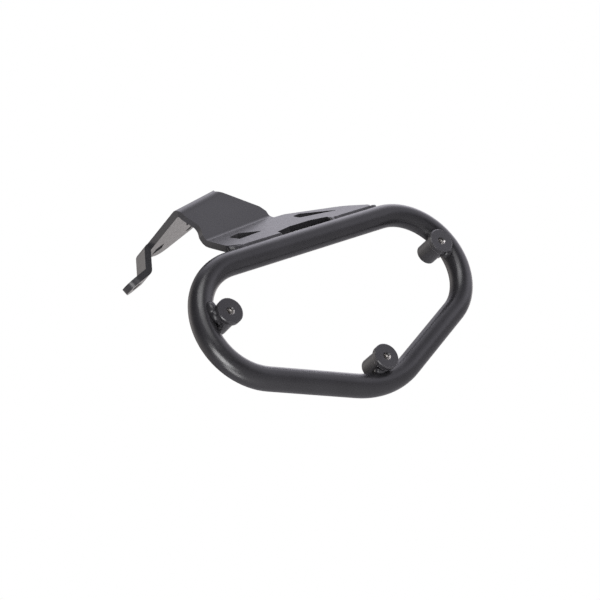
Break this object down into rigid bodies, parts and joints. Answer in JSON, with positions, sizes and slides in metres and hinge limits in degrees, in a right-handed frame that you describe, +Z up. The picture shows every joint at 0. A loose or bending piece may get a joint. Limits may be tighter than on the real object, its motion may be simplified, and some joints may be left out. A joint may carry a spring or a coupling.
{
  "type": "pannier frame",
  "caption": "Motorcycle pannier frame: a closed bent-tube loop with threaded bosses for a pannier and a folded sheet bracket with a joggled bolt tab, coated black.",
  "frame": {"origin": "on the lower boss's axis, in its outboard face", "axes": "+X rearward along the top tube, +Y inboard to the motorcycle, +Z up"},
  "size_m": [0.2614, 0.1272, 0.2049],
  "materials": {
    "tube_coat": "satin black powder coat",
    "bracket_coat": "satin black powder coat",
    "boss_coat": "satin black powder coat",
    "weld_coat": "satin black powder coat over weld"
  },
  "bodies": {
    "root": {"frame_tube": "tube_coat", "mounting_bracket": "bracket_coat", "front_boss": "boss_coat", "rear_boss": "boss_coat", "lower_boss": "boss_coat", "front_boss_weld": "weld_coat", "rear_boss_weld": "weld_coat", "lower_boss_weld": "weld_coat", "front_flange_weld": "weld_coat", "rear_flange_weld": "weld_coat"}
  },
  "joints": []
}
